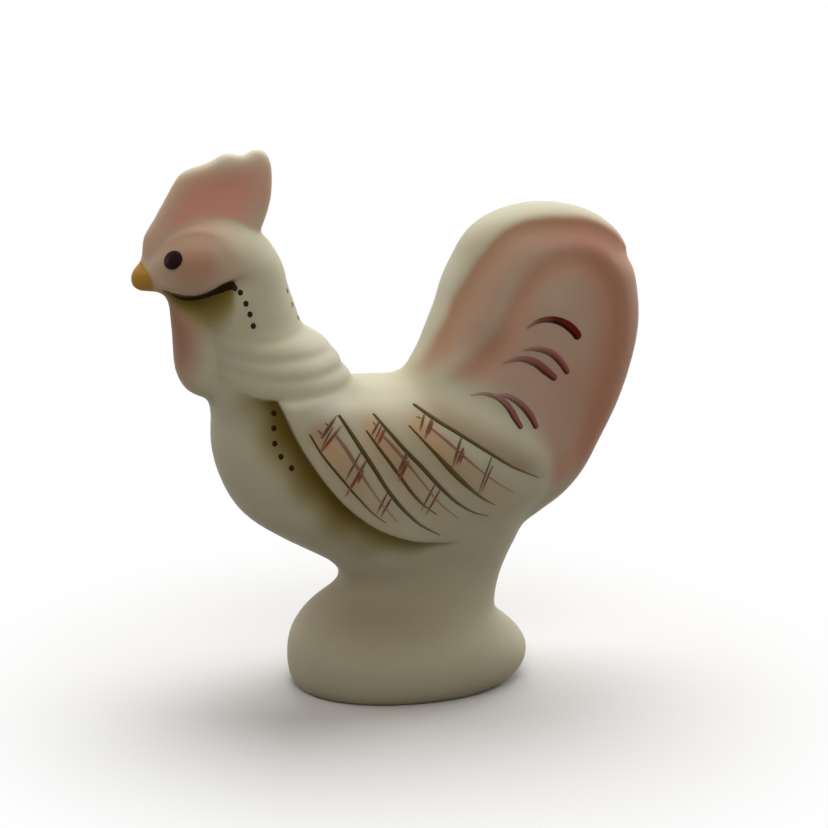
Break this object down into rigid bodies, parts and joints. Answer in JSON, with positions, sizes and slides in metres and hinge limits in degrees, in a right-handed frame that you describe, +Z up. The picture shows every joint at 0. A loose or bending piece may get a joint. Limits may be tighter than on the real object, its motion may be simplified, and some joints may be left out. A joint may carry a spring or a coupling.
{
  "type": "rooster figurine",
  "caption": "Solid satin glass rooster figurine on an oval foot, with an upright comb, ruffed neck, folded wings and a high arched tail.",
  "frame": {"origin": "middle of the foot's flat underside", "axes": "+Z up, -X towards the head, +X towards the tail; the mould halves meet on the plane Y = 0"},
  "size_m": [0.1247, 0.051, 0.133],
  "materials": {
    "satin_glass": "satin, etched, opaque pale custard glass with a painted decoration"
  },
  "bodies": {
    "root": {"rooster": "satin_glass"}
  },
  "joints": []
}
